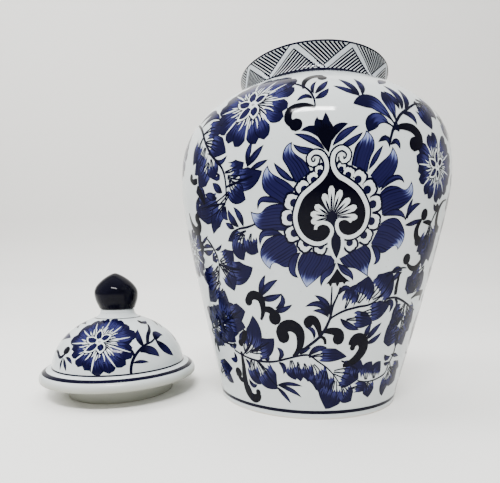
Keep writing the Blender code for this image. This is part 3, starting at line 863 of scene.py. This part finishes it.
# ---------------------------------------------------------------- cut leaves
# Acanthus leaves: round each vein the clay is left white with hair-fine side veins, and the lobes
# are washed in dark cobalt from a ragged inner edge out to their points.
UPPER_LOBES = [
    (8, -43, 209, -37, 210, -31, 205), (9, -40.5, 202, -35, 198, -29.5, 191),
    (8, -43, 207, -46, 199, -49.5, 191), (9, -40.5, 199, -44, 189, -48, 184),
    (10, -38, 188, -41.5, 181, -45.5, 174.5), (8, -37, 190, -36, 183, -35.5, 176),
    (8, -47, 173, -44, 168, -41, 165), (12, -29, 166, -37, 158, -50, 158),
    (8, -31, 160, -36, 152, -39.5, 141), (7, -30, 179, -26, 180, -22, 183),
    (9, -29, 176, -22, 173, -15.5, 176.5), (9, -28, 174, -26, 166, -22, 160.5),
    (10, 38, 222, 42, 215, 45, 205), (8, 40, 225, 47, 222, 50, 214), (9, 52, 218, 56, 214, 60, 204),
    (9, 42, 223, 42, 217, 40.5, 210), (9, 44, 225, 48, 221, 51, 216.5), (12, 51, 145, 55, 134, 58.5, 121),
    (9, 51, 142, 49, 132, 47, 125), (9, 50, 139, 52, 128, 52.5, 116), (8, 55, 214, 61, 222, 64, 212),
    (14, 50, 146, 54, 138, 60, 128), (7, 50, 144, 48.5, 135, 45, 127), (5, -23, 141, -28, 138, -32, 135),
    (9, -24, 139, -26.5, 131, -25, 121.5), (8, -21, 139, -21.5, 132, -18.5, 126.5)]
MIDDLE_LOBES = [
    (5, -39, 126, -41, 124, -43, 122), (9, -38, 121, -33, 124, -30, 128.5),
    (11, -37, 119, -30, 113, -21.5, 116.5), (9, -37, 116, -34, 110, -32, 99.5),
    (8, -40, 118, -46, 112, -51, 117), (10, -40, 114, -47, 109, -55, 111), (11, -40, 106, -46, 100, -53, 90),
    (6, -39, 101, -41, 97, -42, 93), (8, 15, 88, 16.5, 96, 18.5, 105), (11, 20, 92, 22, 100, 23, 110.5),
    (14, 26, 95, 30, 102, 33.5, 114), (11, 55, 117, 50, 110, 44, 106), (9, 53, 112, 49, 104, 45.5, 97),
    (9, 50, 99, 54, 104, 56.5, 113), (10, 46, 90, 43.5, 82, 39, 75), (10, 46, 80, 42, 72, 37, 62),
    (10, 48, 77, 48, 66, 46.5, 56), (10, 48, 89, 52, 82, 57, 79), (9, 49, 80, 53, 74, 57, 67),
    (9, 22, 84, 29, 86, 36, 91), (8, 16, 80, 23, 80, 28.5, 76.5), (9, 50, 100, 46, 105, 43, 109.5),
    (9, 51, 101, 54, 107, 54, 115.5), (8, 45, 86, 42, 84, 38.5, 79.5), (9, 46, 78, 42, 76, 38, 71),
    (9, 47, 68, 42, 64, 37, 61.5), (10, 48, 85, 53, 79, 58, 74), (9, 48, 72, 51, 65, 54, 56)]
LOWER_LOBES = [
    (11, -57, 67, -52, 78, -47, 85), (11, -52, 70, -46, 79, -40, 88), (10, -60, 65, -54, 60, -47, 58),
    (10, -52, 68, -46, 64, -40, 60), (10, -46, 72, -40, 70, -33, 67), (10, -44, 76, -40, 82, -34, 90),
    (11, -40, 76, -41, 84, -38, 100), (10, -46, 73, -48, 80, -50, 88), (10, -52, 69, -55, 77, -60, 84),
    (10, -38, 78, -34, 82, -27.5, 84.5), (10, -42, 74, -36, 75, -28.5, 72), (10, -46, 70, -41, 66, -36, 59),
    (9, -52, 66, -50, 60, -46, 56), (11, -31, 51, -25.5, 63, -24, 82), (8, -31, 52, -31, 60, -29.5, 70),
    (10, -27, 53, -20, 57, -14.5, 65.5), (9, -28, 46, -27, 35, -23.5, 26), (13, -24, 45, -19, 33, -14.5, 24),
    (10, -60, 25, -52, 33, -43, 34.5), (7, -54, 30, -49, 26, -44.5, 21), (7, 1, 52, 9, 54, 18.5, 52),
    (9, -7, 49, -6, 40, -5, 33), (7, -4, 48, -3, 38, -2.5, 32), (8, -1, 47, 1, 38, 1, 32),
    (12, 3, 46, 6, 34, 5, 25), (12, 9, 41, 9, 30, 7.5, 20), (16, 14, 33, 13, 21, 10.5, 9),
    (10, 18, 28, 21, 21, 24.5, 14.5), (14, 13, 40, 20, 38, 26.5, 33), (10, 25, 34, 24.5, 40, 26, 49),
    (10, 31, 32, 30.5, 38, 32.5, 47), (9, 36, 32, 36, 38, 38.5, 46), (6, 22, 25, 30, 26, 34, 22),
    (9, 32, 29, 34, 24, 35, 15.5), (12, 46, 38, 50, 33, 58, 24), (7, 47, 38, 53, 38, 58, 36),
    (9, 47, 35, 46, 25, 47, 13.5)]


def cut_leaves(name, table):
    """Lobes that fade from bare clay to dark cobalt, each with its vein."""
    lobes = Drawing()
    lobes.leaves(all_round(table, 1.65), root=0.55, peak=0.5, tones=(0.50, 0.22), turn=0.30, teeth=3,
                 bite=0.13, cut=0.3, ragged=3.0)
    for width, *places in table + turned_over(table):
        vein = flow(lobes.flat(pairs(places)), 12)[:8]
        way = vein[-1] - vein[0]
        aside = np.array([-way[1], way[0]]) / np.linalg.norm(way) * width
        spread = np.linspace(0.15, 1, 7) ** 0.7
        for lean in (-0.34, 0.0, 0.34) if width > 8 else (-0.15, 0.15):
            lobes.blade(vein[:7] + aside * (lean * spread)[:, None], 1.1, root=0.9, tip=0.5,
                        tones=(INK, INK), coat=2)
    paint(name, lobes, JAR_WALL, 2, "jar")


cut_leaves("upper_cut_leaves", UPPER_LOBES)
cut_leaves("middle_cut_leaves", MIDDLE_LOBES)
cut_leaves("lower_cut_leaves", LOWER_LOBES)

# ---------------------------------------------------------------- the collar's lattice
# Round the collar a broad zigzag of white bands runs between two dark lines, and each triangle
# beside it is filled with fine lines drawn level with its left-hand side.
NECK_ROUND = 60.0
NECK_DEGREE = math.radians(1.0) * NECK_ROUND
LATTICE_LOW, LATTICE_HIGH = 8.2, 24.6
REPEAT = 40.0
FIRST_FOOT = -33.0
LINE_PITCH = 1.9
COLLAR_MARGIN = 3.6

below_collar = [(85.0, 237.4)] + flank[-8:]
neck_line = guide("neck_line", below_collar + neck[1:] + rim[:5])
below_neck = sum(math.dist(a, b) for a, b in zip(below_collar, below_collar[1:]))
NECK_WALL = {**JAR_WALL, "Wall line": neck_line, "Round": NECK_ROUND / 1000}
lattice = Drawing(NECK_DEGREE, below_neck)
foot_a, peak_b, foot_c, peak_d = (np.array(lattice.flat([place])[0]) for place in (
    (FIRST_FOOT, LATTICE_LOW), (FIRST_FOOT + REPEAT / 2, LATTICE_HIGH),
    (FIRST_FOOT + REPEAT, LATTICE_LOW), (FIRST_FOOT + 1.5 * REPEAT, LATTICE_HIGH)))
for corner, far, base in ((foot_a, peak_b, foot_c), (peak_b, foot_c, peak_d)):
    side = far - corner
    rise = abs(side[1]) / np.linalg.norm(side)
    pitch = LINE_PITCH / rise
    step = COLLAR_MARGIN / rise
    while step < base[0] - corner[0] - 3.4 / rise:
        start = corner + (step, 0)
        end = start + side * (1 - step / (base[0] - corner[0]))
        lattice.blade([start, (start + end) / 2, end], 1.3, root=0.9, tip=0.9, tones=(INK, INK), coat=1)
        step += pitch
for corner, far in ((foot_a, peak_b), (peak_b, foot_c)):
    side = (far - corner) / np.linalg.norm(far - corner)
    across = np.array([-side[1], side[0]])
    for width, tone, coat in ((4.6, INK, 2), (2.9, 0.94, 3)):
        ends = [corner - side * 0.8, far + side * 0.8]
        line = np.linspace(ends[0], ends[1], 14)
        lattice.strip(line + across * width / 2, line - across * width / 2, (tone, tone), 0.5, coat)
paint("collar_lattice", lattice, NECK_WALL, 9, "jar")

collar_bands = Drawing(NECK_DEGREE, below_neck)
for low, high, tone in ((-6.6, -2.4, 0.36), (4.6, LATTICE_LOW, INK), (LATTICE_HIGH, 26.6, INK)):
    band(collar_bands, low, high, tone, coat=6)
paint("collar_bands", collar_bands, NECK_WALL, 1, "jar")

# ---------------------------------------------------------------- the lid
# A turned dome on a heavy rounded flange, with its locating ring under it and a flared stem on top,
# all one piece of glazed porcelain. The ring's lower edge is ground bare where it stands.
LID_X, LID_Y = middle_of("lid_dome")
DOME_POWER = 2 / 1.86
# The dark yellowish grey of the painted shade under the lid's flange.
UNDER_FLANGE_PAINTED_SHADE = (0.30, 0.30, 0.245)


def dome(radius, foot, rise, count, least):
    """Points up a dome from its foot until its radius is the least."""
    last = math.acos((least / radius) ** (1 / DOME_POWER)) if least else math.pi / 2
    angles = [last * k / count for k in range(count + 1)]
    return [(radius * max(math.cos(a), 0.0) ** DOME_POWER, foot + rise * math.sin(a) ** DOME_POWER)
            for a in angles]


outside = dome(59.4, 28.0, 46.3, 34, 19.4)
hollow = dome(53.9, 26.2, 42.6, 26, 0.0)[::-1]
slope = [(70.8, 18.7)] + bend((70.8, 18.7), (70.8, 23.2), (66.8, 25.6), (62.0, 26.9), 9)
slope += bend((62.0, 26.9), (60.6, 27.2), (59.6, 27.4), outside[0], 4)
lid_outline = hollow + bend((53.9, 26.2), (53.9, 21.2), (53.9, 21.2), (50.0, 21.2), 5)
lid_outline += bend((50.0, 21.2), (43.0, 21.2), (43.0, 21.2), (43.0, 19.0), 5)
lid_outline += [(43.0, 10.0), (43.0, 2.0)] + bend((43.0, 2.0), (43.0, 0.0), (43.4, 0.0), (44.2, 0.0), 4)
lid_outline += [(46.6, 0.0)] + bend((46.6, 0.0), (48.0, 0.0), (48.0, 0.0), (48.1, 1.5), 4)
lid_outline += [(48.7, 10.0)] + bend((48.7, 10.0), (49.0, 14.9), (49.6, 15.7), (51.5, 15.7), 5)
lid_outline += [(60.0, 15.7)] + bend((60.0, 15.7), (70.8, 15.7), (70.8, 15.7), (70.8, 18.7), 8)
lid_outline += slope[1:] + outside[1:]
lid_outline += bend(outside[-1], (17.0, 72.6), (15.2, 73.6), (15.1, 77.7), 8)
lid_outline += [(14.4, 78.5), (8.0, 78.5), (0.0, 78.5)]


def lid_white_and_painted_shade(tree, place):
    """The same white, with painted shade: greyed and a little rougher under the flange and over the ring
    below it.
    """
    white, roughness = white_ground(tree, place)
    # Painted shade: below the flange's rim the white is greyed towards a dark yellowish grey, fading out up
    # the rim.
    painted_shade_under_flange = 1 - place.part(2).over(0.0165, 0.0258)
    return white.towards((*UNDER_FLANGE_PAINTED_SHADE, 1.0), painted_shade_under_flange * 0.85), roughness + painted_shade_under_flange * 0.12


lid = make("lid", line_mesh("lid", lid_outline), turning,
           {"Steps": 160, "Axis X": LID_X, "Axis Y": LID_Y,
            "Finish": glazed("lid_glaze_white_painted_shade", lid_white_and_painted_shade, 0.26)})
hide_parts("lid_dome", "lid_locating_ring")
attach(lid, "lid")

# ---------------------------------------------------------------- the lid's painting
# One full peony with a leafy spray on its right and a curling bud on its left, on front and back,
# between fine lines at the foot of the dome and of the stem and a broad band on the flange.
LID_ROUND = 50.0
LID_DEGREE = math.radians(1.0) * LID_ROUND
lid_line = guide("lid_line", slope + outside[1:])
flange_run = sum(math.dist(a, b) for a, b in zip(slope, slope[1:]))
LID_WALL = {"Wall line": lid_line, "Axis X": LID_X, "Axis Y": LID_Y, "Round": LID_ROUND / 1000,
            "Finish": cobalt}

lid_bands = Drawing(LID_DEGREE, flange_run)
for low, high in ((-9.6, -5.6), (-0.9, 0.7), (60.6, 61.9)):
    band(lid_bands, low, high)
paint("lid_bands", lid_bands, LID_WALL, 1, "lid")

LID_PETALS = [
    (13, 9), (-1, 12.5), (-11, 22), (-18, 35), (-15, 46), (1, 52), (24, 52), (35, 40), (31, 27), (27, 16)]
LID_SPRAYS = [
    (6, 50, 22, 48, 32, 52.5, 42), (8.6, 45, 18, 53.5, 19, 62, 11), (3.2, 37, 9, 43, 9.6, 51, 8),
    (8.6, 66.5, 27, 71, 19, 80, 8.5), (8, 66, 27, 74, 33, 82, 30), (2.6, -27, 13, -27.6, 8, -28, 2.5),
    (3.2, -25.5, 13, -22.5, 9, -19.5, 2.5), (3.2, -23, 14, -18.5, 13, -13.5, 9),
    (9, -78, 20, -58, 30, -33, 32), (5, -84, 42, -62, 50, -34, 50), (4, -80, 38, -60, 44.5, -40, 43),
    (5, 66, 52, 72, 50, 84, 52)]
LID_STEMS = [
    (2.4, 35, 0, 36, 8, 39, 14, 45, 20, 52, 24, 60, 26, 68, 30), (2.0, 39, 14, 38.5, 18, 37, 22),
    (3.6, 55, 25, 60, 33, 68, 39, 77, 47), (3, -26, 17, -31, 13, -40, 16.5, -48, 17)]

lid_bloom = Drawing(LID_DEGREE, flange_run)
peony(lid_bloom, (8, 30), LID_PETALS)
paint("lid_peony", lid_bloom, LID_WALL, 2, "lid")

lid_leaves = Drawing(LID_DEGREE, flange_run)
lid_leaves.leaves(LID_SPRAYS, root=0.2, tones=(INK, 0.30), turn=0.4)
lid_leaves.leaves(LID_STEMS, root=0.8, tip=0.6, peak=0.4, tones=(INK, INK), coat=1)
lid_leaves.disc(lid_leaves.flat([(-25.5, 20)])[0], 7.6, BLACK, coat=2)
lid_leaves.disc(lid_leaves.flat([(68, 52)])[0], 7.0, BLACK, coat=2)
paint("lid_leaves", lid_leaves, LID_WALL, 2, "lid")

# ---------------------------------------------------------------- the knob
# A solid bud of porcelain luted on the stem and dipped in a deep cobalt glaze, nearly black and
# very glossy. The lid is lifted by it.
DIPPED_THICK = (0.0018, 0.0018, 0.0042)
DIPPED_THIN = (0.0035, 0.0035, 0.0085)

knob_outline = [(0.0, 78.8), (9.0, 78.8), (15.0, 78.8)]
knob_outline += bend((15.0, 78.8), (15.8, 78.8), (15.9, 79.2), (16.1, 80.0), 4)
knob_outline += bend((16.1, 80.0), (18.0, 84.6), (19.4, 87.6), (19.4, 93.0), 12)
knob_outline += bend((19.4, 93.0), (19.4, 102.3), (4.2, 111.5), (0.0, 111.5), 26)


def dipped(tree, place):
    """A dark glaze, a little thinner in soft random clouds."""
    cloud = noise(tree, place, 60.0)
    dark = Wire.put(tree, "ShaderNodeValToRGB", {"stops": [(0.3, DIPPED_THICK), (0.75, DIPPED_THIN)]},
                    {0: cloud})
    return dark, cloud * 0.03 + 0.04


knob = make("knob", line_mesh("knob", knob_outline), turning,
            {"Steps": 96, "Axis X": LID_X, "Axis Y": LID_Y, "Finish": glazed("dark_glaze", dipped, 0.08)})
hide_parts("lid_knob")
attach(knob, "lid")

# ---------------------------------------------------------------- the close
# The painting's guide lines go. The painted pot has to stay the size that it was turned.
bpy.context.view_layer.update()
for line in (jar_line, neck_line, lid_line):
    bpy.data.objects.remove(line)
